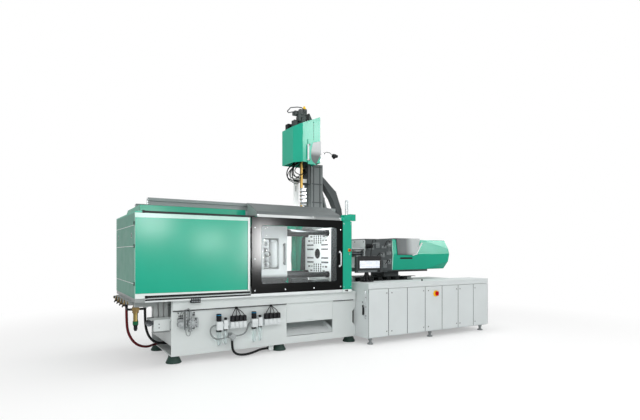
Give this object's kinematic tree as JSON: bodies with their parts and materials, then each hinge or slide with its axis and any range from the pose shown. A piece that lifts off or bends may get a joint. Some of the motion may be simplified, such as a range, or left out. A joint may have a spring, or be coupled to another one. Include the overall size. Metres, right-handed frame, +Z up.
{
  "type": "injection moulding machine",
  "caption": "Two-component injection moulding machine: a guarded clamp unit, a horizontal injection unit over a control cabinet, and a vertical injection unit on a tower.",
  "frame": {"origin": "centre of the footprint, on the floor under the feet", "axes": "+X along the clamping axis from the clamp unit to the injection unit, -Y the operator side, +Z up"},
  "size_m": [5.881, 1.846, 3.65],
  "materials": {
    "body_grey": "satin paint",
    "cover_green": "satin paint",
    "door_grey": "satin paint",
    "lid_grey": "satin paint",
    "white_paint": "satin paint",
    "tower_grey": "satin paint",
    "dark_grey": "satin paint",
    "black_frame": "satin paint",
    "platen": "painted casting with machined faces",
    "bright_steel": "ground",
    "chromed_bar": "hard chrome",
    "hood_metal": "brushed",
    "track_metal": "extruded",
    "clear_pane": "clear polycarbonate",
    "barrel_steel": "heat-tinted",
    "brass_barrel": "dull",
    "filter_brass": "dull",
    "valve_grey": "moulded",
    "feet_steel": "paint",
    "black_plastic": "moulded",
    "red_plastic": "moulded",
    "terminal_grey": "moulded",
    "red_rubber": "hose",
    "black_rubber": "hose",
    "grey_hose": "hose"
  },
  "bodies": {
    "machine": {"clamp_base": "body_grey", "parts_chute": "bright_steel", "machine_feet": "feet_steel", "front_apron": "body_grey", "guard_rails": "track_metal", "fixed_platen": "platen", "tie_bars": "chromed_bar", "end_platen": "platen", "clamp_cover_front": "cover_green", "clamp_cover_rear": "cover_green", "clamp_cover_end": "cover_green", "clamp_roof": "body_grey", "roof_beams": "track_metal", "end_pan": "lid_grey", "guard_columns": "cover_green", "cabinet_body": "body_grey", "injection_base": "body_grey", "travel_rods": "chromed_bar", "vertical_column": "tower_grey", "cable_duct": "dark_grey", "terminal_arm": "body_grey", "lubrication_unit": "valve_grey", "air_service_units": "valve_grey", "water_filter": "filter_brass", "red_hose": "red_rubber", "black_hose": "black_rubber", "supply_hose": "black_rubber", "air_hoses": "grey_hose"},
    "front_guard": {"guard_frame": "black_frame", "guard_window": "clear_pane", "guard_hood": "hood_metal", "guard_handle": "bright_steel"},
    "rear_guard": {"rear_guard_frame": "black_frame", "rear_guard_window": "clear_pane"},
    "moving_platen": {"moving_platen": "platen", "piston_rod": "chromed_bar"},
    "ejector": {"ejector": "bright_steel"},
    "injection_unit": {"injection_carriage": "dark_grey", "injection_cover": "cover_green", "injection_hood": "dark_grey", "injection_barrel": "barrel_steel"},
    "injection_drive": {"injection_drive": "dark_grey"},
    "injection_screw": {"injection_screw": "bright_steel"},
    "vertical_unit": {"vertical_carriage": "white_paint", "vertical_cover": "cover_green", "vertical_dark_cover": "dark_grey", "vertical_barrel": "brass_barrel"},
    "vertical_drive": {"vertical_drive": "black_plastic"},
    "vertical_screw": {"vertical_screw": "bright_steel"},
    "chute_flap": {"chute_flap": "body_grey"},
    "terminal": {"terminal": "terminal_grey"},
    "emergency_button": {"emergency_button": "red_plastic"},
    "main_switch": {"main_switch": "red_plastic"},
    "cabinet_door_1": {"cabinet_door_1": "door_grey"},
    "cabinet_door_2": {"cabinet_door_2": "door_grey"},
    "cabinet_door_3": {"cabinet_door_3": "door_grey"},
    "cabinet_door_4": {"cabinet_door_4": "door_grey"},
    "cabinet_door_5": {"cabinet_door_5": "door_grey"},
    "cabinet_door_6": {"cabinet_door_6": "door_grey"},
    "cabinet_door_7": {"cabinet_door_7": "door_grey"}
  },
  "joints": [
    {"name": "front_guard_slide", "type": "slide", "parent": "machine", "child": "front_guard", "axis": [-1, 0, 0], "range_m": [0, 1.4]},
    {"name": "rear_guard_slide", "type": "slide", "parent": "machine", "child": "rear_guard", "axis": [-1, 0, 0], "range_m": [0, 1.4]},
    {"name": "clamp_slide", "type": "slide", "parent": "machine", "child": "moving_platen", "axis": [1, 0, 0], "range_m": [0, 0.4]},
    {"name": "ejector_slide", "type": "slide", "parent": "moving_platen", "child": "ejector", "axis": [1, 0, 0], "range_m": [0, 0.15]},
    {"name": "injection_unit_slide", "type": "slide", "parent": "machine", "child": "injection_unit", "axis": [-1, 0, 0], "range_m": [0, 0.2]},
    {"name": "injection_plunge", "type": "slide", "parent": "injection_unit", "child": "injection_drive", "axis": [-1, 0, 0], "range_m": [0, 0.18]},
    {"name": "injection_screw_spin", "type": "hinge", "parent": "injection_drive", "child": "injection_screw", "pos_m": [0.9495, 0.158, 1.353], "axis": [1, 0, 0], "continuous": true},
    {"name": "vertical_unit_slide", "type": "slide", "parent": "machine", "child": "vertical_unit", "axis": [0, 0, -1], "range_m": [0, 0.35]},
    {"name": "vertical_plunge", "type": "slide", "parent": "vertical_unit", "child": "vertical_drive", "axis": [0, 0, -1], "range_m": [0, 0.08]},
    {"name": "vertical_screw_spin", "type": "hinge", "parent": "vertical_drive", "child": "vertical_screw", "pos_m": [-0.2505, 0.158, 2.99], "axis": [0, 0, 1], "continuous": true},
    {"name": "chute_flap_hinge", "type": "hinge", "parent": "machine", "child": "chute_flap", "pos_m": [-0.507, -0.563, 0.6547], "axis": [-1, 0, 0], "range_deg": [0, 80]},
    {"name": "terminal_swivel", "type": "hinge", "parent": "machine", "child": "terminal", "pos_m": [0.5195, -0.542, 1.18], "axis": [0, 0, 1], "range_deg": [-60, 60]},
    {"name": "emergency_press", "type": "slide", "parent": "machine", "child": "emergency_button", "axis": [0, 1, 0], "range_m": [0, 0.004], "stiffness_N_per_m": 1500},
    {"name": "door_1_hinge", "type": "hinge", "parent": "machine", "child": "cabinet_door_1", "pos_m": [0.296, -0.886, 0.47], "axis": [0, 0, -1], "range_deg": [0, 90]},
    {"name": "door_2_hinge", "type": "hinge", "parent": "machine", "child": "cabinet_door_2", "pos_m": [1.049, -0.886, 0.47], "axis": [0, 0, 1], "range_deg": [0, 90]},
    {"name": "door_3_hinge", "type": "hinge", "parent": "machine", "child": "cabinet_door_3", "pos_m": [1.052, -0.886, 0.47], "axis": [0, 0, -1], "range_deg": [0, 90]},
    {"name": "door_4_hinge", "type": "hinge", "parent": "machine", "child": "cabinet_door_4", "pos_m": [1.805, -0.886, 0.47], "axis": [0, 0, 1], "range_deg": [0, 80]},
    {"name": "door_5_hinge", "type": "hinge", "parent": "machine", "child": "cabinet_door_5", "pos_m": [1.808, -0.886, 0.47], "axis": [0, 0, -1], "range_deg": [0, 70]},
    {"name": "door_6_hinge", "type": "hinge", "parent": "machine", "child": "cabinet_door_6", "pos_m": [2.561, -0.886, 0.47], "axis": [0, 0, 1], "range_deg": [0, 90]},
    {"name": "door_7_hinge", "type": "hinge", "parent": "machine", "child": "cabinet_door_7", "pos_m": [2.939, -0.886, 0.47], "axis": [0, 0, 1], "range_deg": [0, 90]},
    {"name": "main_switch_turn", "type": "hinge", "parent": "cabinet_door_4", "child": "main_switch", "pos_m": [1.6795, -0.902, 0.707], "axis": [0, 1, 0], "range_deg": [0, 90]}
  ]
}
